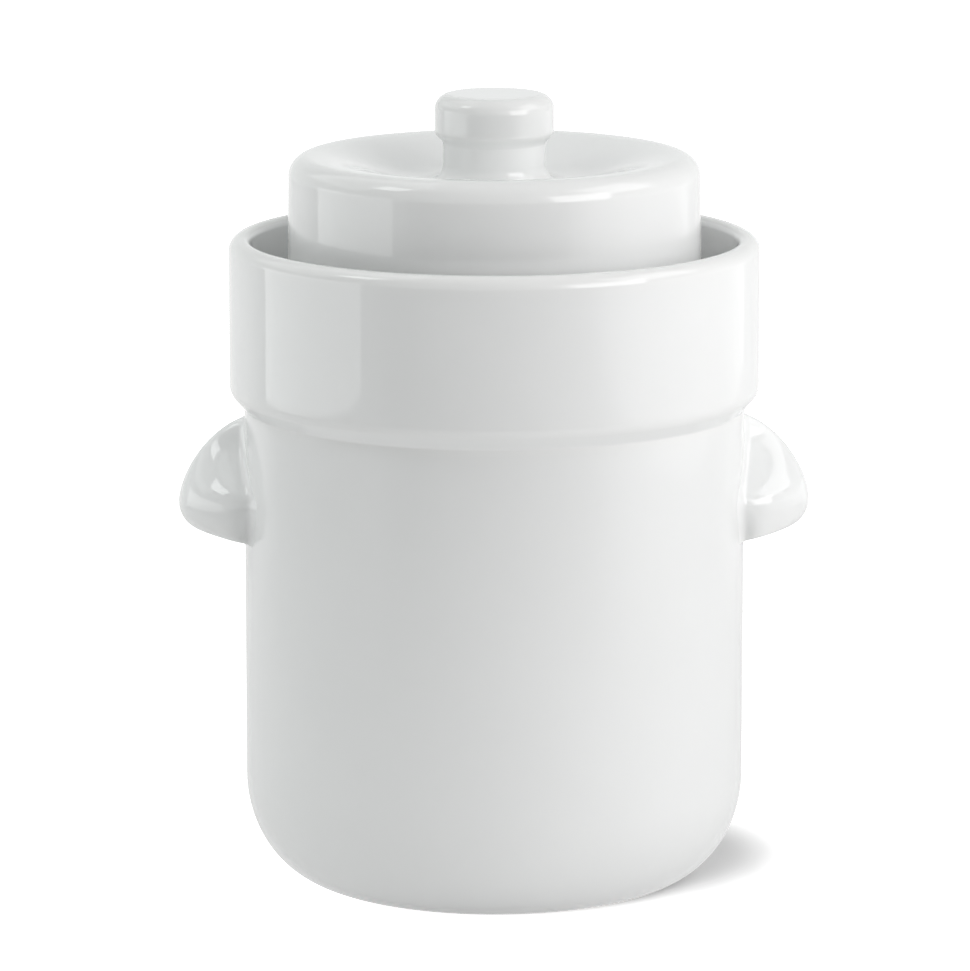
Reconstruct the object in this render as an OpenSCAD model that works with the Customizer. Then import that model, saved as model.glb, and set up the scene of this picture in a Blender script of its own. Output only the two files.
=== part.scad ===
// Glazed stoneware fermentation crock with a water-filled sealing gutter.
// A pot carries a luted-on collar and two beak-shaped lug handles, a dished lid
// with a stout knob dips its skirt into the gutter, and two half-round stones lie inside.
// Millimetres, +Z up, origin at the centre of the foot on the table.

/* [Pot] */
// Outside diameter of the pot wall
body_d = 193; // [170:1:230]
// Height of the pot wall, from the table to the ledge under the collar
body_h = 185.5; // [150:0.5:230]
// Thickness of the pot wall
wall = 8.5; // [6:0.5:11]
// Height of the inside floor above the table
floor_t = 10; // [8:0.5:14]
// How far the rounded base corner reaches in from the wall
corner_w = 33; // [24:1:38]
// How high the rounded base corner reaches up the wall
corner_h = 41; // [30:1:50]
// Width of the bare ring that the pot stands on
foot_w = 8; // [5:0.5:14]
// Depth of the hollow inside the foot ring
foot_recess = 2; // [1:0.5:4]

/* [Water collar] */
// How far the collar stands out past the pot wall
collar_overhang = 5.5; // [3:0.5:7]
// Thickness of the collar wall
collar_wall = 8.5; // [7:0.5:11]
// Height of the collar, from the ledge to its rim
collar_h = 65.5; // [56:0.5:90]
// Slant of the collar's underside, away from upright
collar_under_a = 41; // [32:1:48]
// Radius of the turn from the slant into the collar wall
collar_under_r = 6; // [3:0.5:10]
// Radius of the rim's outer edge
rim_outer_r = 5; // [3:0.5:5]
// Height of the shoulder disc that the collar is luted round
shoulder_h = 10; // [7:0.5:14]

/* [Neck and mouth] */
// Thickness of the neck wall
neck_wall = 7; // [5:0.5:9]
// How far the lip of the neck lies below the collar rim
neck_drop = 8; // [4:0.5:16]
// Fillet at the foot of the neck and of the collar, in the gutter
gutter_fillet = 2.5; // [1:0.5:3]
// Radius of the turn from the neck into the pot
throat_r = 7; // [4:0.5:9]
// Radius of the hollow under the shoulder
shoulder_r = 14; // [8:0.5:15]

/* [Lid] */
// Clear width of the gutter outside the lid skirt
water_gap = 13.5; // [10:0.5:16]
// Clearance between the lid skirt and the neck
skirt_gap = 3; // [2.8:0.1:5]
// Thickness of the lid skirt at its rim
lid_wall = 7; // [6:0.5:9]
// How much the skirt narrows from its rim to the crest
lid_draft = 1; // [0:0.1:2]
// How far the crest of the lid stands above the collar rim
lid_rise = 31.5; // [22:0.5:40]
// Radius of the outer shoulder of the lid
lid_shoulder_r = 8; // [6:0.5:10]
// Depth of the dish in the top of the lid
dish_depth = 9.5; // [7.5:0.5:11]
// Thickness of the lid under the dish
lid_top_t = 8; // [6:0.5:12]
// Radius under the top of the lid, inside
lid_inner_r = 10; // [6:0.5:12]
// Bevel on the rim of the skirt
skirt_bevel = 1; // [0.5:0.1:2]
// Radius of each gas notch in the rim of the skirt
notch_r = 4; // [2:0.5:6]

/* [Knob] */
// Largest diameter of the knob
knob_d = 45.8; // [40:0.2:56]
// Height of the knob above the crest of the lid
knob_rise = 23.5; // [21.5:0.5:30]
// Diameter of the knob at its waist
waist_d = 37; // [30:0.2:42]
// Radius of the knob's top edge
knob_edge_r = 5.8; // [4:0.1:7]
// Height of the knob's straight side
knob_side_h = 8.5; // [6:0.5:10.5]
// Height of the undercut below that side
knob_under_h = 9.5; // [6:0.5:11]
// Fillet at the foot of the knob
knob_fillet = 7; // [3:0.5:8]

/* [Handles] */
// How far each handle reaches out from the wall
handle_reach = 25.4; // [18:0.2:32]
// Height of a handle where it meets the wall
handle_h = 49.5; // [42:0.5:58]
// Width of a handle along the wall at its foot
handle_w = 62; // [44:1:72]
// Width of a handle's ridge at its top
handle_ridge_w = 14; // [8:0.5:18]
// Height of the tip above the foot of the handle
handle_tip_h = 16.5; // [13:0.5:20]
// How far the lower lip falls from its middle to the wall
handle_sag = 7; // [3:0.5:9]
// Depth of the finger hollow under a handle
finger_hollow = 3; // [0:0.5:5]
// How far out from the wall a handle is pinched
handle_pinch_w = 6; // [3:0.5:9]
// Radius of the luting fillet round a handle
handle_fillet = 2.5; // [1:0.5:5]
// Clearance between a handle's top and the collar
handle_drop = 4; // [1:0.5:10]

/* [Weight stones] */
// Thickness of the stones
stone_t = 22; // [15:1:30]
// Radius of the stones' rounded edges
stone_edge_r = 5; // [3:0.5:7]
// Clearance between the stones and the corner of the pot
stone_clearance = 1; // [0.5:0.5:4]
// Gap between the two stones
stone_gap = 5; // [2:0.5:10]
// Radius of the finger hole that the two stones share
finger_hole_r = 12; // [9:0.5:16]
// Radius of the stones' corners, seen from above
stone_corner_r = 9; // [7.5:0.5:12]
// Radius of the corners beside the finger hole
finger_corner_r = 8; // [7.5:0.5:12]

/* [Hidden] */
$fn = 96;
// Straight steps in a short arc and in a long one
short_arc = 6;
long_arc = 12;
// Overlap of cutting shapes past the faces that they cut
cut = 1;
// Degrees between the points of two arcs that run into each other
arc_step = 2;

glaze_colour = [0.93, 0.935, 0.93];
bisque_colour = [0.86, 0.82, 0.74];

// Radii, from the wall inwards
body_r = body_d / 2;
inner_r = body_r - wall;
foot_r = body_r - corner_w;
collar_r = body_r + collar_overhang;
collar_inner_r = collar_r - collar_wall;
skirt_r = collar_inner_r - water_gap;
skirt_inner_r = skirt_r - lid_wall;
neck_r = skirt_inner_r - skirt_gap;
mouth_r = neck_r - neck_wall;
crest_line_r = skirt_r - lid_draft - lid_shoulder_r;
inner_corner_w = corner_w - wall / 2;
inner_corner_h = corner_h - floor_t;
floor_r = inner_r - inner_corner_w;
rim_inner_r = collar_wall - rim_outer_r;

// Heights, from the table upwards
gutter_z = body_h + shoulder_h;
rim_z = body_h + collar_h;
lip_z = rim_z - neck_drop;
ceiling_z = gutter_z - shoulder_h;
crest_z = rim_z + lid_rise;
dish_z = crest_z - dish_depth;
knob_z = crest_z + knob_rise;

handle_top_z = body_h - handle_drop;
handle_foot_z = handle_top_z - handle_h;
handle_tip_z = handle_foot_z + handle_tip_h;
handle_lip_z = handle_foot_z + handle_sag;

// Points of an elliptical arc about (cx, cz), from angle a to angle b
function arc(cx, cz, rx, rz, a, b, steps = short_arc) =
    [for (i = [0 : steps]) let (t = a + (b - a) * i / steps) [cx + rx * cos(t), cz + rz * sin(t)]];

// Smooth step from 0 to 1
function ease(t) = 3 * t * t - 2 * t * t * t;

// Solid lofted through rings of points, listed upwards, each counterclockwise from above
module loft(rings) {
    n = len(rings[0]);
    last = len(rings) - 1;
    sides = [for (i = [0 : last - 1], j = [0 : n - 1])
        let (k = (j + 1) % n, a = i * n + j, b = i * n + k, c = a + n, d = b + n)
        each [[a, c, d], [a, d, b]]];
    foot = [for (j = [0 : n - 1]) j];
    top = [for (j = [n - 1 : -1 : 0]) last * n + j];
    polyhedron([for (r = rings) each r], concat(sides, [foot, top]));
}

// Turned pot: bare foot ring, round corner, wall, ledge, gutter floor, neck and cavity
module crock_pot() {
    lip_r = neck_wall / 2;
    outside = concat(
        [[0, foot_recess], [foot_r - foot_w - foot_recess, foot_recess], [foot_r - foot_w, 0]],
        arc(foot_r, corner_h, corner_w, corner_h, -90, 0, long_arc),
        [[body_r, body_h], [collar_inner_r, body_h], [collar_inner_r, gutter_z]],
        arc(neck_r + gutter_fillet, gutter_z + gutter_fillet, gutter_fillet, gutter_fillet, 270, 180),
        arc(mouth_r + lip_r, lip_z - lip_r, lip_r, lip_r, 0, 180, long_arc));
    inside = concat(
        arc(mouth_r + throat_r, ceiling_z + throat_r, throat_r, throat_r, 180, 270),
        arc(inner_r - shoulder_r, ceiling_z - shoulder_r, shoulder_r, shoulder_r, 90, 0),
        arc(floor_r, floor_t + inner_corner_h, inner_corner_w, inner_corner_h, 0, -90, long_arc),
        [[0, floor_t]]);
    color(glaze_colour) rotate_extrude() polygon(concat(outside, inside));
}

// Ring luted round the shoulder, which makes the outer wall of the gutter
module water_collar() {
    turn_r = collar_under_r;
    slant_w = collar_overhang - turn_r * (1 - cos(collar_under_a));
    turn_z = body_h + slant_w / tan(collar_under_a) + turn_r * sin(collar_under_a);
    f = gutter_fillet;
    section = concat(
        [[collar_inner_r, body_h], [body_r, body_h]],
        arc(collar_r - turn_r, turn_z, turn_r, turn_r, -collar_under_a, 0),
        arc(collar_r - rim_outer_r, rim_z - rim_outer_r, rim_outer_r, rim_outer_r, 0, 90),
        arc(collar_inner_r + rim_inner_r, rim_z - rim_inner_r, rim_inner_r, rim_inner_r, 90, 180),
        arc(collar_inner_r - f, gutter_z + f, f, f, 0, -90),
        [[collar_inner_r, gutter_z]]);
    color(glaze_colour) rotate_extrude() polygon(section);
}

// Half-width of a handle at reach s and height z of its midline: a dome that is full at the lip,
// narrows to the ridge and is pinched where it meets the wall
handle_full = 0.2;
handle_bell = 0.55;
pinch_full = 0.1;
pinch_bell = 0.5;
function handle_share(z) = min(1, max(0, (z - handle_lip_z) / (handle_top_z - handle_lip_z)));
function swell(q, full, bell) = 1 - ease(min(1, max(0, (q - full) / bell)));
function handle_half_width(z, s) =
    let (
        q = handle_share(z),
        dome = swell(q, handle_full, handle_bell),
        waist = swell(q, pinch_full, pinch_bell),
        pinch = exp(-pow(max(s, 0) / handle_pinch_w, 2)))
    handle_ridge_w / 2 * sqrt(1 - pow(q, 8))
    + (handle_w - handle_ridge_w) / 2 * (dome + (waist - dome) * pinch);

// How much the luting fillet widens a handle at reach s
function flare(s) =
    s >= handle_fillet ? 0
    : handle_fillet - sqrt(pow(handle_fillet, 2) - pow(handle_fillet - max(s, 0), 2));

// Midline of a handle as [reach, height, sag]: a level foot inside the wall, the underside out
// from the wall, arched by the finger hollow, a rounded lip, then a superellipse up to the wall
handle_bury = 2.5;
handle_power = 1.25;
handle_round = 1.15;
handle_lip_w = handle_reach * 0.27;
function handle_fall(z) = let (q = handle_share(z)) handle_sag * (1 + 1.5 * q) * (1 - q * q);
function handle_midline() = concat(
    [[-handle_bury, handle_foot_z - handle_bury, 0]],
    [for (i = [0 : 7]) let (t = i / 8, arch = finger_hollow * pow(sin(180 * t), 2))
        [(handle_reach - handle_lip_w + handle_bury) * t - handle_bury,
         handle_lip_z + arch, handle_sag + arch]],
    [for (i = [0 : 4]) let (t = 90 - 90 * i / 5, z = handle_tip_z - (handle_tip_z - handle_lip_z) * sin(t))
        [handle_reach - handle_lip_w * (1 - cos(t)), z, handle_fall(z)]],
    [for (i = [0 : 14]) let (
            t = 90 * i / 14,
            z = handle_tip_z + (handle_top_z - handle_tip_z) * pow(sin(t), handle_power))
        [(handle_reach + handle_bury) * pow(cos(t), handle_power) - handle_bury, z, handle_fall(z)]]);

// One arch of a handle, bent round the pot wall, falling towards it and closed inside it
arch_steps = 24;
function handle_arch(p) =
    concat(
        [for (j = [0 : arch_steps]) let (
                a = 180 - 180 * j / arch_steps,
                s = (p[0] + handle_bury) * pow(sin(a), handle_round) - handle_bury,
                along = handle_half_width(p[1], s) * cos(a) + sign(cos(a)) * flare(s))
            bend(along, s, p[1] - p[2] * (1 - sin(a)))],
        [for (side = [1, -1])
            bend(side * (handle_half_width(p[1], 0) + handle_fillet), -2 * handle_bury, p[1] - p[2])]);
function bend(along, s, z) =
    let (a = along / body_r * 180 / PI) [(body_r + s) * cos(a), (body_r + s) * sin(a), z];

// Beak-shaped lug, seated on the round wall
module handle() {
    color(glaze_colour) difference() {
        loft([for (p = handle_midline()) handle_arch(p)]);
        cylinder(h = body_h, r = body_r);
    }
}

module right_handle() { handle(); }
module left_handle() { rotate(180) handle(); }

// Turned lid: skirt with gas notches, rounded shoulder, raised crest and dished top
module lid() {
    dish_foot_r = waist_d / 2 + knob_fillet;
    inner_top_z = dish_z - lid_top_t;
    inner_turn_r = skirt_inner_r - lid_draft - lid_inner_r;
    b = skirt_bevel;
    section = concat(
        [[skirt_inner_r + b, gutter_z], [skirt_r - b, gutter_z], [skirt_r, gutter_z + b]],
        arc(crest_line_r, crest_z - lid_shoulder_r, lid_shoulder_r, lid_shoulder_r, 0, 90, long_arc),
        [for (i = [1 : long_arc]) let (t = i / long_arc)
            [crest_line_r + (dish_foot_r - crest_line_r) * t, crest_z - dish_depth * ease(t)]],
        [[0, dish_z], [0, inner_top_z]],
        arc(inner_turn_r, inner_top_z - lid_inner_r, lid_inner_r, lid_inner_r, 90, 0),
        [[skirt_inner_r, gutter_z + b]]);
    color(glaze_colour) difference() {
        rotate_extrude() polygon(section);
        translate([0, 0, gutter_z]) rotate([90, 0, 0])
            cylinder(h = 2 * skirt_r + 2 * cut, r = notch_r, center = true);
    }
}

// Turned knob, luted into the bottom of the dish
module lid_knob() {
    r = knob_d / 2;
    waist_r = waist_d / 2;
    side_z = knob_z - knob_edge_r - knob_side_h;
    waist_z = side_z - knob_under_h;
    section = concat(
        [[0, dish_z], [waist_r + knob_fillet, dish_z]],
        arc(waist_r + knob_fillet, dish_z + knob_fillet, knob_fillet, knob_fillet, 270, 180),
        [for (i = [0 : long_arc]) let (t = i / long_arc)
            [waist_r + (r - waist_r) * ease(t), waist_z + knob_under_h * t]],
        arc(r - knob_edge_r, knob_z - knob_edge_r, knob_edge_r, knob_edge_r, 0, 90),
        [[0, knob_z]]);
    color(glaze_colour) rotate_extrude() polygon(section);
}

// Outline of a stone at an inset from its sides: round edge, corners, flat side and finger hole
stone_r = floor_r + stone_edge_r - stone_clearance;
stone_corner_x = stone_gap / 2 + stone_corner_r;
stone_corner_y = sqrt(pow(stone_r - stone_corner_r, 2) - pow(stone_corner_x, 2));
finger_corner_x = stone_gap / 2 + finger_corner_r;
finger_corner_y = sqrt(pow(finger_hole_r + finger_corner_r, 2) - pow(finger_corner_x, 2));
function stone_outline(inset) =
    let (
        round_r = stone_r - inset,
        corner_r = stone_corner_r - inset,
        finger_r = finger_corner_r - inset,
        hole_r = finger_hole_r + inset,
        corner_a = atan2(stone_corner_y, stone_corner_x),
        finger_a = atan2(finger_corner_y, finger_corner_x))
    concat(
        arc(0, 0, round_r, round_r, -corner_a, corner_a, 2 * long_arc),
        arc(stone_corner_x, stone_corner_y, corner_r, corner_r, corner_a + arc_step, 180),
        arc(finger_corner_x, finger_corner_y, finger_r, finger_r, 180, 180 + finger_a),
        arc(0, 0, hole_r, hole_r, finger_a - arc_step, arc_step - finger_a),
        arc(finger_corner_x, -finger_corner_y, finger_r, finger_r, 180 - finger_a, 180),
        arc(stone_corner_x, -stone_corner_y, corner_r, corner_r, 180, 360 - corner_a - arc_step));

// Half-round stone on the pot floor, with rounded edges and half of the finger hole
module weight_stone() {
    e = stone_edge_r;
    edge = concat(arc(e, e, e, e, 270, 180), arc(e, stone_t - e, e, e, 180, 90));
    color(bisque_colour) translate([0, 0, floor_t])
        loft([for (p = edge) [for (q = stone_outline(p[0])) [q[0], q[1], p[1]]]]);
}

module right_weight_stone() { weight_stone(); }
module left_weight_stone() { rotate(180) weight_stone(); }

crock_pot();
water_collar();
left_handle();
right_handle();
lid();
lid_knob();
left_weight_stone();
right_weight_stone();
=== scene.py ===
import math

import bmesh
import bpy
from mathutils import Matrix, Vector


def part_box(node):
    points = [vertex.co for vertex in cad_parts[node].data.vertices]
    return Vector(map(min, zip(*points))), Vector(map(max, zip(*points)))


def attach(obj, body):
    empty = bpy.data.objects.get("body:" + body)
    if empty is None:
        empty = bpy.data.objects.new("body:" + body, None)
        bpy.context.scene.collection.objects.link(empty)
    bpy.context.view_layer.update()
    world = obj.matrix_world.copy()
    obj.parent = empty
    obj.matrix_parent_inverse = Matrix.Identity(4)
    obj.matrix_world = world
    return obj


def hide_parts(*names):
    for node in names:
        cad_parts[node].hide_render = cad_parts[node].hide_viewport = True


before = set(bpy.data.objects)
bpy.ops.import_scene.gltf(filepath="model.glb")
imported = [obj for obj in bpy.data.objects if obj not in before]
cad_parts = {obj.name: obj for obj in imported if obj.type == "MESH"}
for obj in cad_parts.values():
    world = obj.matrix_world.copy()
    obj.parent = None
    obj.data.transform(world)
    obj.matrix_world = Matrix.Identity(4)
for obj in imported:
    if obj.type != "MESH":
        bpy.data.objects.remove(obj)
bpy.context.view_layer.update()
mm = 0.001
print("frame loaded:", ", ".join(sorted(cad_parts)))


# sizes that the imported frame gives, in metres
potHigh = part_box("crock_pot")[1]
collarLow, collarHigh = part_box("water_collar")
lidLow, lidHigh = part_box("lid")
knobLow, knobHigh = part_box("lid_knob")
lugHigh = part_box("right_handle")[1]
stoneLow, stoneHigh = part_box("right_weight_stone")

wallRadius = potHigh.x
ledge = collarLow.z  # where the collar is luted to the pot
gutterFloor = lidLow.z  # the lid's skirt stands here
dishFloor = knobLow.z
potFloor = stoneLow.z


# camera: a long lens, a little above the rim
cameraSet = {
    "lens": 230.2,  # mm
    "sensor": 36.0,
    "clipEnd": 20.0,
    "distance": 2.4,
    "azimuth": -2.0,  # degrees, the left lug comes nearer
    "elevation": 11.07,
    "aim": Vector((-0.0036, 0.0, 0.15344)),
}


def makeCamera():
    turn = math.radians(cameraSet["azimuth"])
    rise = math.radians(cameraSet["elevation"])
    back = Vector((math.sin(turn) * math.cos(rise), -math.cos(turn) * math.cos(rise), math.sin(rise)))
    data = bpy.data.cameras.new("studioCamera")
    data.lens = cameraSet["lens"]
    data.sensor_width = cameraSet["sensor"]
    data.clip_end = cameraSet["clipEnd"]
    camera = bpy.data.objects.new("studioCamera", data)
    camera.location = cameraSet["aim"] + back * cameraSet["distance"]
    camera.rotation_euler = (-back).to_track_quat("-Z", "Y").to_euler()
    bpy.context.collection.objects.link(camera)
    bpy.context.scene.camera = camera
    print("camera at", [round(c, 3) for c in camera.location])


makeCamera()


# node helpers
def addNode(tree, kind, inputs=None, **settings):
    made = tree.nodes.new(kind)
    for name, value in settings.items():
        setattr(made, name, value)
    for name, value in (inputs or {}).items():
        if isinstance(value, bpy.types.NodeSocket):
            tree.links.new(value, made.inputs[name])
        else:
            made.inputs[name].default_value = value
    return made


def maths(tree, operation, first, second=0.0, clamp=False):
    made = addNode(tree, "ShaderNodeMath", {0: first, 1: second}, operation=operation, use_clamp=clamp)
    return made.outputs[0]


def scaled(tree, value, factor, offset):
    inputs = {0: value, 1: factor, 2: offset}
    return addNode(tree, "ShaderNodeMath", inputs, operation="MULTIPLY_ADD").outputs[0]


def addSockets(tree, direction, sockets):
    for name, kind, value in sockets:
        made = tree.interface.new_socket(name, in_out=direction, socket_type="NodeSocket" + kind)
        if value is not None:
            made.default_value = value


def mixColour(tree, factor, first, second, blend="MIX"):
    inputs = {0: factor, 6: first, 7: second}
    return addNode(tree, "ShaderNodeMix", inputs, data_type="RGBA", blend_type=blend).outputs[2]


def mixValue(tree, factor, first, second):
    return addNode(tree, "ShaderNodeMix", {0: factor, 2: first, 3: second}, data_type="FLOAT").outputs[0]


def ramp(tree, value, low, high):
    made = addNode(tree, "ShaderNodeMapRange", {0: value, 1: low, 2: high}, interpolation_type="SMOOTHSTEP")
    return made.outputs[0]


def noise(tree, vector, scale, detail=2.0, roughness=0.5):
    inputs = {"Vector": vector, "Scale": scale, "Detail": detail, "Roughness": roughness}
    return addNode(tree, "ShaderNodeTexNoise", inputs).outputs[0]


# shader groups, shared by the glazes and the bare clay: noise scales per metre, heights in mm
skinOutputs = [("Color", "Color", None), ("Roughness", "Float", None), ("Height", "Float", None)]
glazeGrain = {
    "cloud": 14.0,
    "ripple": 22.0,
    "peel": 160.0,
    "peelHeight": 0.006,
    "fleck": 420.0,
    "fleckHeight": 0.0006,
    "thinLeast": 0.3,  # least share of the thin tone on an edge
    "thinRoughness": 0.04,
    "poolLightShare": 0.8,
}
clayGrain = {
    "cloud": 30.0,
    "cloudHeight": 0.25,
    "grainHeight": 0.12,
    "spots": 240.0,
    "spotEdge": (0.22, 0.1),
    "spotPick": (0.8, 0.85),  # only the few cells above this have a spot
    "spotTone": 0.6,
    "dryness": (0.2, 0.7),  # share of the grain, and the least roughness
}


def makeGlazeGroup():
    tree = bpy.data.node_groups.new("glazeSkin", "ShaderNodeTree")
    addSockets(tree, "INPUT", [
        ("Vector", "Vector", None),
        ("Masks", "Vector", None),
        ("Glaze", "Color", None),
        ("Thin Glaze", "Color", None),
        ("Pooled Glaze Light", "Color", None),
        ("Mottle", "Float", 0.05),
        ("Gloss Roughness", "Float", 0.08),
        ("Ripple", "Float", 0.1),
    ])
    addSockets(tree, "OUTPUT", skinOutputs)
    given = tree.nodes.new("NodeGroupInput").outputs
    where = given["Vector"]
    masks = addNode(tree, "ShaderNodeSeparateXYZ", {0: given["Masks"]}).outputs
    cloud = noise(tree, where, glazeGrain["cloud"], 3.0)
    fleck = noise(tree, where, glazeGrain["fleck"], 1.0)
    peel = noise(tree, where, glazeGrain["peel"], 1.0)
    ripple = noise(tree, where, glazeGrain["ripple"], 1.0)

    shade = scaled(tree, maths(tree, "SUBTRACT", cloud, 0.5), given["Mottle"], 1.0)
    toned = mixColour(tree, 1.0, given["Glaze"], shade, "MULTIPLY")
    thinness = maths(tree, "MULTIPLY", masks[1], maths(tree, "ADD", cloud, glazeGrain["thinLeast"]), True)
    toned = mixColour(tree, thinness, toned, given["Thin Glaze"])
    # painted light: the pooled tone is lighter than the glaze and lifts the shade in the gutter and fillets
    pooledLight = maths(tree, "MULTIPLY", masks[2], glazeGrain["poolLightShare"], True)
    toned = mixColour(tree, pooledLight, toned, given["Pooled Glaze Light"])

    gloss = maths(tree, "MULTIPLY", given["Gloss Roughness"], maths(tree, "ADD", cloud, 0.5))
    gloss = scaled(tree, thinness, glazeGrain["thinRoughness"], gloss)

    height = maths(tree, "MULTIPLY", ripple, given["Ripple"])
    height = scaled(tree, peel, glazeGrain["peelHeight"], height)
    height = scaled(tree, fleck, glazeGrain["fleckHeight"], height)
    addNode(tree, "NodeGroupOutput", {"Color": toned, "Roughness": gloss, "Height": height})
    return tree


def makeClayGroup():
    tree = bpy.data.node_groups.new("bareClay", "ShaderNodeTree")
    addSockets(tree, "INPUT", [
        ("Vector", "Vector", None),
        ("Clay", "Color", None),
        ("Iron", "Color", None),
        ("Mottle", "Float", 0.2),
        ("Grain", "Float", 900.0),
    ])
    addSockets(tree, "OUTPUT", skinOutputs)
    given = tree.nodes.new("NodeGroupInput").outputs
    where = given["Vector"]
    cloud = noise(tree, where, clayGrain["cloud"], 4.0, 0.6)
    grain = noise(tree, where, given["Grain"], 3.0, 0.7)
    spots = addNode(tree, "ShaderNodeTexVoronoi", {"Vector": where, "Scale": clayGrain["spots"]}).outputs
    chance = addNode(tree, "ShaderNodeSeparateColor", {0: spots["Color"]}).outputs[0]
    spot = ramp(tree, spots["Distance"], *clayGrain["spotEdge"])
    spot = maths(tree, "MULTIPLY", spot, ramp(tree, chance, *clayGrain["spotPick"]))
    shade = scaled(tree, maths(tree, "SUBTRACT", cloud, 0.5), given["Mottle"], 1.0)
    toned = mixColour(tree, 1.0, given["Clay"], shade, "MULTIPLY")
    toned = mixColour(tree, maths(tree, "MULTIPLY", spot, clayGrain["spotTone"]), toned, given["Iron"])
    dry = scaled(tree, grain, *clayGrain["dryness"])
    height = maths(tree, "MULTIPLY", cloud, clayGrain["cloudHeight"])
    height = scaled(tree, grain, clayGrain["grainHeight"], height)
    addNode(tree, "NodeGroupOutput", {"Color": toned, "Roughness": dry, "Height": height})
    return tree


glazeGroup = makeGlazeGroup()
clayGroup = makeClayGroup()

clayTones = {"Clay": (0.66, 0.60, 0.51, 1), "Iron": (0.32, 0.22, 0.14, 1)}
glazeEnd = {  # ragged edge of the glaze against bare clay
    "scale": 130.0,
    "raggedness": 0.3,
    "band": (0.6, 0.68),
    "relief": (0.97, 0.75),  # bumps fade where the surface turns away
}


def newFinish(name):
    finish = bpy.data.materials.new(name)
    finish.use_nodes = True
    finish.node_tree.nodes.clear()
    return finish, finish.node_tree


def makeGlaze(name, tones):
    finish, tree = newFinish(name)
    where = addNode(tree, "ShaderNodeTexCoord").outputs["Object"]
    masks = addNode(tree, "ShaderNodeAttribute", attribute_name="glazeMask").outputs["Vector"]
    bare = addNode(tree, "ShaderNodeSeparateXYZ", {0: masks}).outputs[0]
    skin = addNode(tree, "ShaderNodeGroup", node_tree=glazeGroup)
    clay = addNode(tree, "ShaderNodeGroup", node_tree=clayGroup)
    for group, values in ((skin, tones), (clay, clayTones)):
        tree.links.new(where, group.inputs["Vector"])
        for socket, value in values.items():
            group.inputs[socket].default_value = value
    tree.links.new(masks, skin.inputs["Masks"])
    ragged = noise(tree, where, glazeEnd["scale"])
    edge = ramp(tree, scaled(tree, ragged, glazeEnd["raggedness"], bare), *glazeEnd["band"])
    height = mixValue(tree, edge, skin.outputs["Height"], clay.outputs["Height"])
    edgeOn = addNode(tree, "ShaderNodeLayerWeight").outputs["Facing"]
    relief = ramp(tree, edgeOn, *glazeEnd["relief"])
    bump = addNode(tree, "ShaderNodeBump", {"Height": height, "Strength": relief, "Distance": mm})
    shader = addNode(tree, "ShaderNodeBsdfPrincipled", {
        "Base Color": mixColour(tree, edge, skin.outputs["Color"], clay.outputs["Color"]),
        "Roughness": mixValue(tree, edge, skin.outputs["Roughness"], clay.outputs["Roughness"]),
        "Normal": bump.outputs[0],
        "IOR": 1.52,
    })
    addNode(tree, "ShaderNodeOutputMaterial", {"Surface": shader.outputs[0]})
    return finish


def makeClay(name, values):
    finish, tree = newFinish(name)
    where = addNode(tree, "ShaderNodeTexCoord").outputs["Object"]
    clay = addNode(tree, "ShaderNodeGroup", node_tree=clayGroup)
    tree.links.new(where, clay.inputs["Vector"])
    for socket, value in values.items():
        clay.inputs[socket].default_value = value
    bump = addNode(tree, "ShaderNodeBump", {"Height": clay.outputs["Height"], "Distance": mm})
    shader = addNode(tree, "ShaderNodeBsdfPrincipled", {
        "Base Color": clay.outputs["Color"],
        "Roughness": clay.outputs["Roughness"],
        "Normal": bump.outputs[0],
        "Specular IOR Level": 0.3,
    })
    addNode(tree, "ShaderNodeOutputMaterial", {"Surface": shader.outputs[0]})
    return finish


glazeTones = {
    "Glaze": (0.86, 0.87, 0.865, 1),
    "Thin Glaze": (0.86, 0.865, 0.855, 1),
    # the pooled tone is lighter than the glaze: painted light that lifts the shade in the gutter and in
    # fillets
    "Pooled Glaze Light": (0.95, 0.955, 0.953, 1),
    "Mottle": 0.05,
    "Gloss Roughness": 0.055,
    "Ripple": 0.12,
}
crockGlaze = makeGlaze("crockGlaze", glazeTones)
lidGlaze = makeGlaze("lidGlaze", dict(glazeTones, Mottle=0.04))
stoneClay = makeClay("stoneClay", dict(clayTones, Mottle=0.25))
print("materials made:", crockGlaze.name, lidGlaze.name, stoneClay.name)


# turned forms: an outline of radius and height goes round the axis
def arc(centreR, centreZ, radiusR, radiusZ, start, end, steps=16):
    turns = [math.radians(start + (end - start) * i / steps) for i in range(steps + 1)]
    return [(centreR + radiusR * math.cos(t), centreZ + radiusZ * math.sin(t)) for t in turns]


def ease(t):
    return 3 * t * t - 2 * t * t * t


def rounded(before, corner, after, radius, steps=8):
    b, c, a = Vector(before), Vector(corner), Vector(after)
    inward, outward = (b - c).normalized(), (a - c).normalized()
    half = inward.angle(outward) / 2
    start, end = c + inward * radius / math.tan(half), c + outward * radius / math.tan(half)
    centre = c + (inward + outward).normalized() * radius / math.sin(half)
    first, last = (start - centre).normalized(), (end - centre).normalized()
    return [tuple(centre + first.slerp(last, i / steps) * radius) for i in range(steps + 1)]


def filled(outline, longest=4 * mm):
    points = [outline[0]]
    for near, far in zip(outline, outline[1:]):
        gap = math.dist(near, far)
        if gap < 1e-6:
            continue
        parts = math.ceil(gap / longest)
        points += [tuple(n + (f - n) * i / parts for n, f in zip(near, far)) for i in range(1, parts + 1)]
    return points


hollowPoolLight = 0.3  # fillets hold a little more glaze, painted lighter to lift their shade


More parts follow.
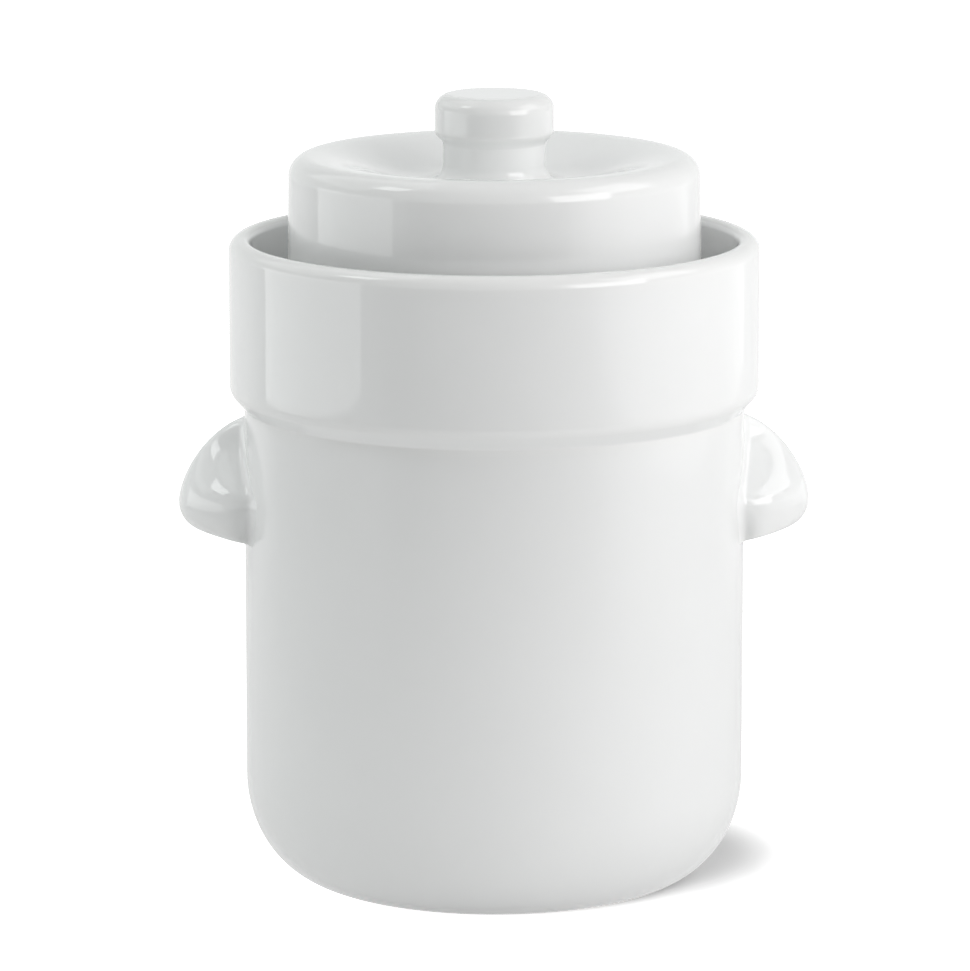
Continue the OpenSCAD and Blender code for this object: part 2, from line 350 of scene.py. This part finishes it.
def glazeMasks(outline, isBare, isPooledLit, reach=3 * mm):
    places, turns = [0.0], [0.0]
    for before, here, after in zip(outline, outline[1:], outline[2:]):
        a, b = Vector(here) - Vector(before), Vector(after) - Vector(here)
        places.append(places[-1] + a.length)
        turns.append(math.atan2(a.x * b.y - a.y * b.x, a.dot(b)))
    places.append(places[-1] + math.dist(outline[-2], outline[-1]))
    turns.append(0.0)
    masks = []
    for point, place in zip(outline, places):
        bend = sum(t * math.exp(-((place - p) / reach) ** 2) for p, t in zip(places, turns))
        # the gutter and hollow fillets get the pooled tone, painted lighter to lift their shade
        poolAndLight = 1.0 if isPooledLit(*point) else hollowPoolLight * min(1.0, max(0.0, -bend))
        masks.append((float(isBare(*point)), min(1.0, max(0.0, bend)), poolAndLight))
    return masks


def endTree(tree, shape, finish):
    real = addNode(tree, "GeometryNodeRealizeInstances", {"Geometry": shape}).outputs[0]
    done = addNode(tree, "GeometryNodeSetMaterial", {"Geometry": real, "Material": finish}).outputs[0]
    addNode(tree, "NodeGroupOutput", {"Geometry": done})
    return tree


def makeTurnedTree():
    tree = bpy.data.node_groups.new("turnedForm", "GeometryNodeTree")
    addSockets(tree, "INPUT", [
        ("Outline", "Geometry", None),
        ("Outline Points", "Int", 2),
        ("Segments", "Int", 256),
        ("Wobble", "Float", 0.0),
        ("Wobble Scale", "Float", 12.0),
        ("Finish", "Material", None),
    ])
    addSockets(tree, "OUTPUT", [("Geometry", "Geometry", None)])
    given = tree.nodes.new("NodeGroupInput").outputs
    across = maths(tree, "ADD", given["Segments"], 1.0)
    grid = addNode(tree, "GeometryNodeMeshGrid", {
        "Size X": 1.0, "Size Y": 1.0, "Vertices X": across, "Vertices Y": given["Outline Points"],
    }).outputs["Mesh"]
    place = addNode(tree, "GeometryNodeInputPosition").outputs[0]
    flat = addNode(tree, "ShaderNodeSeparateXYZ", {0: place}).outputs
    turn = maths(tree, "MULTIPLY", maths(tree, "ADD", flat[0], 0.5), 2 * math.pi)
    last = maths(tree, "SUBTRACT", given["Outline Points"], 1.0)
    index = maths(tree, "ROUND", maths(tree, "MULTIPLY", maths(tree, "ADD", flat[1], 0.5), last))
    mask = addNode(tree, "GeometryNodeInputNamedAttribute", {"Name": "glazeMask"}, data_type="FLOAT_VECTOR")

    def sample(value):
        return addNode(tree, "GeometryNodeSampleIndex", {
            "Geometry": given["Outline"], "Value": value, "Index": index,
        }, data_type="FLOAT_VECTOR").outputs[0]

    point = addNode(tree, "ShaderNodeSeparateXYZ", {0: sample(place)}).outputs
    spun = addNode(tree, "ShaderNodeCombineXYZ", {
        0: maths(tree, "MULTIPLY", point[0], maths(tree, "COSINE", turn)),
        1: maths(tree, "MULTIPLY", point[0], maths(tree, "SINE", turn)),
        2: point[2],
    }).outputs[0]
    stored = addNode(tree, "GeometryNodeStoreNamedAttribute", {
        "Geometry": grid, "Name": "glazeMask", "Value": sample(mask.outputs[0]),
    }, data_type="FLOAT_VECTOR", domain="POINT").outputs[0]
    lathed = addNode(tree, "GeometryNodeSetPosition", {"Geometry": stored, "Position": spun}).outputs[0]
    welded = addNode(tree, "GeometryNodeMergeByDistance", {
        "Geometry": lathed, "Distance": 0.01 * mm,
    }).outputs[0]

    # a hand-turned wall is never quite round: it dips inwards by up to the wobble
    level = addNode(tree, "ShaderNodeVectorMath", {0: place, 1: (1, 1, 0)}, operation="MULTIPLY").outputs[0]
    outwards = addNode(tree, "ShaderNodeVectorMath", {0: level}, operation="NORMALIZE").outputs[0]
    dip = maths(tree, "MULTIPLY", noise(tree, place, given["Wobble Scale"], 1.0), given["Wobble"])
    inwards = addNode(tree, "ShaderNodeVectorMath", {
        0: outwards, "Scale": maths(tree, "MULTIPLY", dip, -1.0),
    }, operation="SCALE").outputs[0]
    moved = addNode(tree, "GeometryNodeSetPosition", {"Geometry": welded, "Offset": inwards}).outputs[0]
    return endTree(tree, moved, given["Finish"])


turnedTree = makeTurnedTree()


def runTree(source, tree, values):
    modifier = source.modifiers.new(tree.name, "NODES")
    modifier.node_group = tree
    for item in tree.interface.items_tree:
        if item.in_out == "INPUT" and item.name in values:
            modifier[item.identifier] = values[item.name]
    bpy.context.view_layer.update()
    shaped = source.evaluated_get(bpy.context.evaluated_depsgraph_get())
    mesh = bpy.data.meshes.new_from_object(shaped)
    source.modifiers.remove(modifier)
    return mesh


def cleanMesh(mesh, sharp=45):
    work = bmesh.new()
    work.from_mesh(mesh)
    bmesh.ops.remove_doubles(work, verts=work.verts, dist=1e-6)
    bmesh.ops.dissolve_degenerate(work, edges=work.edges, dist=1e-7)
    bmesh.ops.recalc_face_normals(work, faces=work.faces)
    for face in work.faces:
        face.smooth = True
    work.to_mesh(mesh)
    work.free()
    mesh.set_sharp_from_angle(angle=math.radians(sharp))
    return mesh


def placePiece(name, mesh, node, body):
    mesh.name = name
    piece = bpy.data.objects.new(name, mesh)
    bpy.context.collection.objects.link(piece)
    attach(piece, body)
    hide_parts(node)
    print("piece", name, "on", body, len(mesh.polygons), "faces")
    return piece


def storeMasks(mesh, masks):
    stored = mesh.attributes.new("glazeMask", "FLOAT_VECTOR", "POINT")
    stored.data.foreach_set("vector", [v for mask in masks for v in mask])


def never(r, z):
    return False


def turnedMesh(name, outline, finish, isBare=never, isPooledLit=never, segments=256, wobble=0.15 * mm):
    outline = filled(outline)
    mesh = bpy.data.meshes.new(name + "Outline")
    mesh.from_pydata([(r, 0.0, z) for r, z in outline], [(i, i + 1) for i in range(len(outline) - 1)], [])
    storeMasks(mesh, glazeMasks(outline, isBare, isPooledLit))
    source = bpy.data.objects.new(name + "Outline", mesh)
    bpy.context.collection.objects.link(source)
    turned = runTree(source, turnedTree, {
        "Outline Points": len(outline), "Segments": segments, "Wobble": wobble, "Finish": finish,
    })
    bpy.data.objects.remove(source)
    bpy.data.meshes.remove(mesh)
    return cleanMesh(turned)


# pot: foot ring, round corner, wall, ledge, gutter floor, neck and cavity
pot = {
    "wall": 8.5 * mm,
    "cornerWidth": 33 * mm,
    "cornerHeight": 41 * mm,
    "footWidth": 8 * mm,
    "footRecess": 2 * mm,
    "footEdge": 1.2 * mm,
    "neckOuter": 70 * mm,
    "neckWall": 7 * mm,
    "gutterFillet": 2.5 * mm,
    "throat": 7 * mm,
    "shoulder": 14 * mm,
    "collarWall": 8.5 * mm,
    "bareHeight": 0.6 * mm,
    "bareReach": (1 * mm, 6 * mm),  # inside and outside the foot ring
    "gutterSlack": 1 * mm,
}


def potOutline():
    inner = wallRadius - pot["wall"]
    footOuter = wallRadius - pot["cornerWidth"]
    footInner = footOuter - pot["footWidth"]
    recess, fillet = pot["footRecess"], pot["gutterFillet"]
    seat = collarHigh.x - pot["collarWall"]
    mouth = pot["neckOuter"] - pot["neckWall"]
    lip = pot["neckWall"] / 2
    shoulderZ = ledge - pot["shoulder"]
    innerWide = pot["cornerWidth"] - pot["wall"] / 2
    innerTall = pot["cornerHeight"] - potFloor
    hollow = (footInner - recess, recess)
    outline = [(0.0, recess)]
    outline += rounded((0.0, recess), hollow, (footInner, 0.0), pot["footEdge"])
    outline += rounded(hollow, (footInner, 0.0), (footOuter, 0.0), pot["footEdge"])
    outline += arc(footOuter, pot["cornerHeight"], pot["cornerWidth"], pot["cornerHeight"], -90, 0, 48)
    outline += [(wallRadius, ledge), (seat, ledge), (seat, gutterFloor)]
    outline += arc(pot["neckOuter"] + fillet, gutterFloor + fillet, fillet, fillet, 270, 180, 10)
    outline += arc(mouth + lip, potHigh.z - lip, lip, lip, 0, 180, 28)
    outline += arc(mouth + pot["throat"], ledge + pot["throat"], pot["throat"], pot["throat"], 180, 270)
    outline += arc(inner - pot["shoulder"], shoulderZ, pot["shoulder"], pot["shoulder"], 90, 0, 20)
    outline += arc(inner - innerWide, potFloor + innerTall, innerWide, innerTall, 0, -90, 36)
    return outline + [(0.0, potFloor)]


def potIsBare(r, z):
    foot = wallRadius - pot["cornerWidth"]
    inside, outside = pot["bareReach"]
    return z < pot["bareHeight"] and foot - pot["footWidth"] - inside < r < foot + outside


# the gutter gets the full pooled tone, painted lighter to lift its shade
def inGutter(r, z):
    slack = pot["gutterSlack"]
    return pot["neckOuter"] - slack < r < collarHigh.x - pot["collarWall"] + slack and z > ledge


placePiece("crockPot", turnedMesh("crockPot", potOutline(), crockGlaze, potIsBare, inGutter),
           "crock_pot", "crock")


# collar: slanted underside, turn, upright wall and round rim
collar = {
    "wall": pot["collarWall"],
    "slant": 41,  # degrees from upright
    "turn": 6 * mm,
    "rimOuter": 5 * mm,
    "luting": 2 * mm,  # fillet in the notch over the pot wall
    "lutingSkirt": 2 * mm,
    "sunk": 0.05 * mm,  # the luting starts just under the pot's skin
    "lap": 1 * mm,
}


def collarOutline():
    inner = collarHigh.x - collar["wall"]
    turn, slant = collar["turn"], math.radians(collar["slant"])
    slantWide = collarHigh.x - wallRadius - turn * (1 - math.cos(slant))
    turnZ = ledge + slantWide / math.tan(slant) + turn * math.sin(slant)
    fillet, rimInner = pot["gutterFillet"], collar["wall"] - collar["rimOuter"]
    skin = wallRadius - collar["sunk"]
    skirt = (skin, ledge - collar["lutingSkirt"])
    wall = arc(collarHigh.x - turn, turnZ, turn, turn, -collar["slant"], 0, 20)
    outline = [(inner, ledge), (skin - collar["lap"], skirt[1]), skirt]
    outline += rounded(skirt, (skin, ledge), wall[0], collar["luting"])
    outline += wall
    outline += arc(collarHigh.x - collar["rimOuter"], collarHigh.z - collar["rimOuter"],
                   collar["rimOuter"], collar["rimOuter"], 0, 90, 20)
    outline += arc(inner + rimInner, collarHigh.z - rimInner, rimInner, rimInner, 90, 180)
    outline += arc(inner - fillet, gutterFloor + fillet, fillet, fillet, 0, -90, 10)
    return outline + [(inner, gutterFloor - collar["lap"]), (inner, ledge)]


placePiece("waterCollar", turnedMesh("waterCollar", collarOutline(), crockGlaze, isPooledLit=inGutter),
           "water_collar", "crock")


# lid: skirt, shoulder, crest and dish
lid = {
    "skirtWall": 7 * mm,
    "draft": 1 * mm,
    "shoulder": 8 * mm,
    "topThickness": 8 * mm,
    "innerTurn": 10 * mm,
    "rimEdge": 1 * mm,
    "bareRim": 2.5 * mm,
    "notches": 2,
    "notchRadius": 4 * mm,
    "dishFoot": 25.5 * mm,
    "dishSteps": 32,
}


def lidOutline():
    skirt, inner = lidHigh.x, lidHigh.x - lid["skirtWall"]
    crestR = skirt - lid["draft"] - lid["shoulder"]
    under = dishFloor - lid["topThickness"]
    turn = lid["innerTurn"]
    dish = [(i + 1) / lid["dishSteps"] for i in range(lid["dishSteps"])]
    dishWide, dishDeep = lid["dishFoot"] - crestR, lidHigh.z - dishFloor
    inside = arc(inner - lid["draft"] - turn, under - turn, turn, turn, 90, 0)
    shoulder = arc(crestR, lidHigh.z - lid["shoulder"], lid["shoulder"], lid["shoulder"], 0, 90, 28)
    rimIn, rimOut = (inner, gutterFloor), (skirt, gutterFloor)
    outline = [(0.0, under)] + inside
    outline += rounded(inside[-1], rimIn, rimOut, lid["rimEdge"], 6)
    outline += rounded(rimIn, rimOut, shoulder[0], lid["rimEdge"], 6)
    outline += shoulder
    outline += [(crestR + dishWide * t, lidHigh.z - dishDeep * ease(t)) for t in dish]
    return outline + [(0.0, dishFloor)]


def lidIsBare(r, z):
    return z < gutterFloor + lid["bareRim"]


def makeNotchTree():
    tree = bpy.data.node_groups.new("gasNotches", "GeometryNodeTree")
    addSockets(tree, "INPUT", [
        ("Geometry", "Geometry", None),
        ("Notches", "Int", 2),
        ("Notch Radius", "Float", 0.004),
        ("Skirt Radius", "Float", 0.08),
        ("Rim Height", "Float", 0.19),
        ("Finish", "Material", None),
    ])
    addSockets(tree, "OUTPUT", [("Geometry", "Geometry", None)])
    given = tree.nodes.new("NodeGroupInput").outputs
    # the ring of places starts over the back of the skirt
    circle = addNode(tree, "GeometryNodeMeshCircle", {
        "Vertices": given["Notches"], "Radius": given["Skirt Radius"],
    })
    ring = addNode(tree, "GeometryNodeTransform", {
        "Geometry": circle.outputs[0],
        "Translation": addNode(tree, "ShaderNodeCombineXYZ", {2: given["Rim Height"]}).outputs[0],
        "Rotation": (0, 0, math.pi / 2),
    })
    rod = addNode(tree, "GeometryNodeMeshCylinder", {
        "Vertices": 48, "Radius": given["Notch Radius"],
        "Depth": maths(tree, "MULTIPLY", given["Skirt Radius"], 0.5),
    })
    place = addNode(tree, "GeometryNodeInputPosition").outputs[0]
    flat = addNode(tree, "ShaderNodeVectorMath", {0: place, 1: (1, 1, 0)}, operation="MULTIPLY").outputs[0]
    facing = addNode(tree, "FunctionNodeAlignRotationToVector", {"Vector": flat}, axis="Z").outputs[0]
    rods = addNode(tree, "GeometryNodeInstanceOnPoints", {
        "Points": ring.outputs[0], "Instance": rod.outputs[0], "Rotation": facing,
    })
    cutters = addNode(tree, "GeometryNodeRealizeInstances", {"Geometry": rods.outputs[0]}).outputs[0]
    cut = addNode(tree, "GeometryNodeMeshBoolean", {
        "Mesh 1": given["Geometry"], "Mesh 2": cutters,
    }, operation="DIFFERENCE")
    return endTree(tree, cut.outputs[0], given["Finish"])


def lidMesh():
    turned = turnedMesh("crockLid", lidOutline(), lidGlaze, lidIsBare)
    source = bpy.data.objects.new("lidTurned", turned)
    bpy.context.collection.objects.link(source)
    notched = runTree(source, makeNotchTree(), {
        "Notches": lid["notches"],
        "Notch Radius": lid["notchRadius"],
        "Skirt Radius": lidHigh.x,
        "Rim Height": gutterFloor,
        "Finish": lidGlaze,
    })
    bpy.data.objects.remove(source)
    bpy.data.meshes.remove(turned)
    return cleanMesh(notched)


placePiece("crockLid", lidMesh(), "lid", "lid")


# knob: spread foot, waist, side and round top edge
knob = {
    "radius": 22.9 * mm,
    "waist": 19.8 * mm,
    "spread": (4.5 * mm, 6 * mm),  # of the foot, outwards and upwards
    "edge": 5.8 * mm,
    "side": 8.5 * mm,
    "undercut": 5 * mm,
    "undercutSteps": 24,
}


def knobOutline():
    radius, waist, edge = knob["radius"], knob["waist"], knob["edge"]
    spread, rise = knob["spread"]
    waistZ = knobHigh.z - edge - knob["side"] - knob["undercut"]
    outline = [(0.0, dishFloor)]
    outline += arc(waist + spread, dishFloor + rise, spread, rise, 270, 180, 20)
    for i in range(knob["undercutSteps"] + 1):
        t = i / knob["undercutSteps"]
        outline.append((waist + (radius - waist) * ease(t), waistZ + knob["undercut"] * t))
    outline += arc(radius - edge, knobHigh.z - edge, edge, edge, 0, 90, 24)
    return outline + [(0.0, knobHigh.z)]


placePiece("lidKnob", turnedMesh("lidKnob", knobOutline(), lidGlaze, segments=160),
           "lid_knob", "lid")


# rings of points, one above the other, closed at both ends
def ringMesh(name, points, ring, finish, masks=None):
    rows = len(points) // ring
    faces = []
    for i in range(rows - 1):
        for j in range(ring):
            k = (j + 1) % ring
            faces.append((i * ring + j, i * ring + k, (i + 1) * ring + k, (i + 1) * ring + j))
    faces.append(tuple(range(ring)))
    faces.append(tuple((rows - 1) * ring + j for j in range(ring)))
    mesh = bpy.data.meshes.new(name)
    mesh.from_pydata(points, [], faces)
    if masks:
        storeMasks(mesh, masks)
    mesh.materials.append(finish)
    return cleanMesh(mesh, 60)


# lugs: arches along a midline, bent round the wall and falling towards it
lug = {
    "drop": 4 * mm,  # below the collar's ledge
    "reach": lugHigh.x - wallRadius,
    "foot": 49.5 * mm,  # below the top, at the wall
    "width": 62 * mm,
    "ridge": 14 * mm,
    "tip": 16.5 * mm,  # above the foot
    "sag": 7 * mm,
    "hollow": 3 * mm,
    "fillet": 2.5 * mm,
    "bury": 2.5 * mm,
    "lipShare": 0.27,  # of the reach
    "lipThin": 0.8,  # how much of the glaze runs off the lip
    "power": 1.25,
    "archPower": 2.2,
    "dome": (0.3, 0.55),  # full up to, then narrowing over, as shares of the height
    "pinch": 5 * mm,  # the dome draws in at the wall, low down
    "pinchDepth": 0.3,
    "pinchTop": 0.5,
    "underSteps": 24,
    "lipSteps": 18,
    "topSteps": 52,
    "archSteps": 80,
    "backSteps": 8,
}
lugTop = ledge - lug["drop"]
lugFoot = lugTop - lug["foot"]
lugLip = lugFoot + lug["sag"]
lugTip = lugFoot + lug["tip"]


def lugShare(z):
    return min(1.0, max(0.0, (z - lugLip) / (lugTop - lugLip)))


def lugSwell(q):
    full, bell = lug["dome"]
    return 1 - ease(min(1.0, max(0.0, (q - full) / bell)))


def lugHalfWidth(z, s):
    q = lugShare(z)
    low = 1 - ease(min(1.0, q / lug["pinchTop"]))
    pinch = lug["pinchDepth"] * low * math.exp(-(max(0.0, s) / lug["pinch"]) ** 2)
    spread = (lug["width"] - lug["ridge"]) / 2
    return lug["ridge"] / 2 * math.sqrt(1 - q ** 8) + spread * lugSwell(q) * (1 - pinch)


def lugFall(z):
    q = lugShare(z)
    return lug["sag"] * (1 - q * q)


def lugFlare(s):
    fillet = lug["fillet"]
    if s < 0:
        return fillet - 2 * s  # goes straight on inside the wall
    return fillet * (1 - min(s, fillet) / fillet) ** 2


def lugMidline():
    lipWide, bury, reach = lug["reach"] * lug["lipShare"], lug["bury"], lug["reach"]
    line = [(-bury, lugFoot - bury, 0.0, 0.0)]
    for i in range(lug["underSteps"]):
        t = i / lug["underSteps"]
        arch = lug["hollow"] * math.sin(math.pi * t) ** 2
        line.append(((reach - lipWide + bury) * t - bury, lugLip + arch, lug["sag"] + arch, 0.0))
    for i in range(lug["lipSteps"]):
        t = math.pi / 2 * (1 - i / lug["lipSteps"])
        z = lugTip - (lugTip - lugLip) * math.sin(t)
        line.append((reach - lipWide * (1 - math.cos(t)), z, lugFall(z), math.sin(t)))
    for i in range(lug["topSteps"] + 1):
        t = math.pi / 2 * i / lug["topSteps"]
        out = (reach + bury) * max(0.0, math.cos(t)) ** lug["power"] - bury
        z = lugTip + (lugTop - lugTip) * math.sin(t) ** lug["power"]
        line.append((out, z, lugFall(z), 0.0))
    return line


def lugMesh(name, side, finish):
    bury, ring = lug["bury"], lug["archSteps"] + lug["backSteps"]
    points, masks = [], []

    def bend(along, s, z):
        turn, radius = along / wallRadius, side * (wallRadius + s)
        points.append((radius * math.cos(turn), radius * math.sin(turn), z))

    for out, z, sag, edge in lugMidline():
        for j in range(lug["archSteps"] + 1):
            a = math.pi * (1 - j / lug["archSteps"])
            s = (out + bury) * max(0.0, math.sin(a)) ** lug["archPower"] - bury
            flare = lugFlare(s)
            half = lugHalfWidth(z, s)
            bend(half * math.cos(a) + math.copysign(flare, math.cos(a)), s, z - sag * (1 - math.sin(a)))
            # the fillet at the wall gets the pooled tone, painted lighter to lift its shade
            masks.append((0.0, edge * lug["lipThin"], hollowPoolLight * min(1.0, flare / lug["fillet"])))
        wide = lugHalfWidth(z, 0.0) + lug["fillet"]
        for j in range(1, lug["backSteps"]):
            bend(wide * (1 - 2 * j / lug["backSteps"]), -2 * bury, z - sag)
            masks.append((0.0, 0.0, 0.0))
    return ringMesh(name, points, ring, finish, masks)


for name, side in (("rightHandle", 1), ("leftHandle", -1)):
    node = "right_handle" if side > 0 else "left_handle"
    placePiece(name, lugMesh(name, side, crockGlaze), node, "crock")


# weight stones: half discs with round edges that share a finger hole
stone = {
    "radius": 63.25 * mm,
    "edge": 5 * mm,
    "gap": 5 * mm,
    "hole": 12 * mm,
    "corner": 9 * mm,
    "fingerCorner": 8 * mm,
    "edgeSteps": 10,
    "flatSteps": 10,
}


def stoneOutline(inset):
    cornerX = stone["gap"] / 2 + stone["corner"]
    cornerY = math.sqrt((stone["radius"] - stone["corner"]) ** 2 - cornerX ** 2)
    fingerX = stone["gap"] / 2 + stone["fingerCorner"]
    fingerY = math.sqrt((stone["hole"] + stone["fingerCorner"]) ** 2 - fingerX ** 2)
    cornerTurn = math.degrees(math.atan2(cornerY, cornerX))
    fingerTurn = math.degrees(math.atan2(fingerY, fingerX))
    outer, hole = stone["radius"] - inset, stone["hole"] + inset
    corner, finger = stone["corner"] - inset, stone["fingerCorner"] - inset
    outline = arc(0, 0, outer, outer, -cornerTurn, cornerTurn, 72)
    outline += arc(cornerX, cornerY, corner, corner, cornerTurn, 180, 14)[1:]
    steps = stone["flatSteps"]
    straight = [cornerY + (fingerY - cornerY) * i / steps for i in range(1, steps)]
    flat = stone["gap"] / 2 + inset
    outline += [(flat, y) for y in straight]
    outline += arc(fingerX, fingerY, finger, finger, 180, 180 + fingerTurn, 12)
    outline += arc(0, 0, hole, hole, fingerTurn, -fingerTurn, 18)[1:-1]
    outline += arc(fingerX, -fingerY, finger, finger, 180 - fingerTurn, 180, 12)
    outline += [(flat, -y) for y in reversed(straight)]
    outline += arc(cornerX, -cornerY, corner, corner, 180, 360 - cornerTurn, 14)[:-1]
    return outline


def stoneMesh(name, side, finish):
    e, steps, tall = stone["edge"], stone["edgeSteps"], stoneHigh.z - stoneLow.z
    rise = arc(e, e, e, e, 270, 180, steps) + arc(e, tall - e, e, e, 180, 90, steps)
    points = []
    for inset, z in rise:
        points += [(side * x, side * y, stoneLow.z + z) for x, y in stoneOutline(inset)]
    return ringMesh(name, points, len(points) // len(rise), finish)


for name, side in (("rightStone", 1), ("leftStone", -1)):
    node = "right_weight_stone" if side > 0 else "left_weight_stone"
    body = "right_stone" if side > 0 else "left_stone"
    placePiece(name, stoneMesh(name, side, stoneClay), node, body)


# floor and light
studio = {
    "floorSize": 6.0,
    "floorTone": (0.90, 0.90, 0.90, 1),
    # painted shadow by the crock: a darker floor tone there and less white glow, on top of the real shadow
    "shadowTone": (0.80, 0.80, 0.80, 1),
    "shadowPlace": (0.035, 0.028, 0.0),  # the floor is white away from here
    "shadowReach": (54 * mm, 106 * mm),
    "nearMirror": 0.85,  # what the glaze mirrors of the floor by the crock
    "farMirror": 0.55,
    "frontMirror": 0.0,  # past the table's front edge
    "backMirror": 1.0,
    "mirrorReach": (0.35, 0.95),
    "frontTurn": (-0.55, -0.8),  # share of the way that is towards the camera
    "backTurn": (0.3, 0.7),
    "roomMirror": 1.0,
    "ambient": 0.275,
    "coolTint": (0.985, 1.0, 0.996),
    "warmTint": (1.0, 0.986, 0.991),
}
lamps = {
    "leftPanel": {
        "place": (-0.75, -0.075, 0.195),
        "aim": (0, -0.075, 0.195),
        "size": (0.79, 0.27),
        "power": 0.9,
        "tint": "coolTint",
    },
    "leftSide": {
        "place": (-1.1, -0.2, 0.5),
        "aim": (0, 0, 0.15),
        "size": (1.4, 0.9),
        "power": 0.4,
        "tint": "coolTint",
    },
    "leftTop": {
        "place": (-0.66, 0.24, 1.02),
        "aim": (0, 0, 0.25),
        "size": (1.0, 1.0),
        "power": 2.5,
        "tint": "coolTint",
    },
    "leftSpot": {
        "place": (-0.69, -0.18, 1.01),
        "aim": (-0.1, 0, 0.16),
        "size": (0.28, 0.28),
        "power": 0.9,
        "tint": "coolTint",
    },
    "overhead": {
        "place": (0, 0.1, 1.6),
        "aim": (0, 0.101, 0),
        "size": (1.4, 1.4),
        "power": 1.6,
        "tint": "coolTint",
    },
    "rightPanel": {
        "place": (0.85, -0.16, 0.15),
        "aim": (0, -0.16, 0.15),
        "size": (1.8, 0.26),
        "power": 0.7,
        "tint": "warmTint",
    },
    "rightKey": {
        "place": (0.8, -0.75, 0.55),
        "aim": (0, 0, 0.15),
        "size": (0.7, 0.6),
        "power": 5.0,
        "tint": "warmTint",
    },
    "rightTop": {
        "place": (0.93, -0.16, 1.0),
        "aim": (0, 0, 0.15),
        "size": (0.8, 0.7),
        "power": 3.5,
        "tint": "warmTint",
    },
}


def makeFloor():
    half = studio["floorSize"] / 2
    mesh = bpy.data.meshes.new("studioFloor")
    corners = [(-half, -half, 0), (half, -half, 0), (half, half, 0), (-half, half, 0)]
    mesh.from_pydata(corners, [], [(0, 1, 2, 3)])
    finish, tree = newFinish("paleFloor")
    path = addNode(tree, "ShaderNodeLightPath").outputs
    where = addNode(tree, "ShaderNodeTexCoord").outputs["Object"]
    gap = addNode(tree, "ShaderNodeVectorMath", {0: where, 1: studio["shadowPlace"]}, operation="DISTANCE")
    # painted shadow: near the shadow place the floor tone darkens and the glow fades, on top of the real
    # shadow
    clear = ramp(tree, gap.outputs["Value"], *studio["shadowReach"])
    glow = maths(tree, "MULTIPLY", clear, path["Is Camera Ray"])
    tone = mixColour(tree, clear, studio["shadowTone"], studio["floorTone"])
    matt = addNode(tree, "ShaderNodeBsdfDiffuse", {"Color": tone})
    light = addNode(tree, "ShaderNodeEmission", {"Strength": glow})
    seen = addNode(tree, "ShaderNodeAddShader", {0: matt.outputs[0], 1: light.outputs[0]})

    away = addNode(tree, "ShaderNodeVectorMath", {0: where}, operation="LENGTH").outputs["Value"]
    towards = addNode(tree, "ShaderNodeVectorMath", {0: where}, operation="NORMALIZE").outputs["Vector"]
    alongY = addNode(tree, "ShaderNodeSeparateXYZ", {0: towards}).outputs[1]
    front, behind = (ramp(tree, alongY, *studio[turn]) for turn in ("frontTurn", "backTurn"))
    far = mixValue(tree, front, studio["farMirror"], studio["frontMirror"])
    far = mixValue(tree, behind, far, studio["backMirror"])
    strength = mixValue(tree, ramp(tree, away, *studio["mirrorReach"]), studio["nearMirror"], far)
    mirrored = addNode(tree, "ShaderNodeEmission", {"Strength": strength})
    both = addNode(tree, "ShaderNodeMixShader", {
        0: path["Is Glossy Ray"], 1: seen.outputs[0], 2: mirrored.outputs[0],
    })
    addNode(tree, "ShaderNodeOutputMaterial", {"Surface": both.outputs[0]})
    mesh.materials.append(finish)
    floor = bpy.data.objects.new("studioFloor", mesh)
    bpy.context.collection.objects.link(floor)


def makeWorld():
    world = bpy.data.worlds.new("studioWorld")
    world.use_nodes = True
    tree = world.node_tree
    tree.nodes.clear()
    path = addNode(tree, "ShaderNodeLightPath").outputs
    strength = mixValue(tree, path["Is Glossy Ray"], studio["ambient"], studio["roomMirror"])
    strength = mixValue(tree, path["Is Camera Ray"], strength, 1.0)
    tint = mixColour(tree, path["Is Camera Ray"], (*studio["coolTint"], 1), (1, 1, 1, 1))
    sky = addNode(tree, "ShaderNodeBackground", {"Color": tint, "Strength": strength})
    addNode(tree, "ShaderNodeOutputWorld", {"Surface": sky.outputs[0]})
    bpy.context.scene.world = world


def makeLamps():
    for name, lamp in lamps.items():
        data = bpy.data.lights.new(name, "AREA")
        data.shape = "RECTANGLE"
        data.size, data.size_y = lamp["size"]
        data.energy = lamp["power"]
        data.color = studio[lamp["tint"]]
        made = bpy.data.objects.new(name, data)
        made.location = lamp["place"]
        facing = Vector(lamp["aim"]) - Vector(lamp["place"])
        made.rotation_euler = facing.to_track_quat("-Z", "Y").to_euler()
        bpy.context.collection.objects.link(made)


makeFloor()
makeWorld()
makeLamps()
bpy.context.scene.view_settings.view_transform = "Standard"
print("studio ready:", ", ".join(lamps))
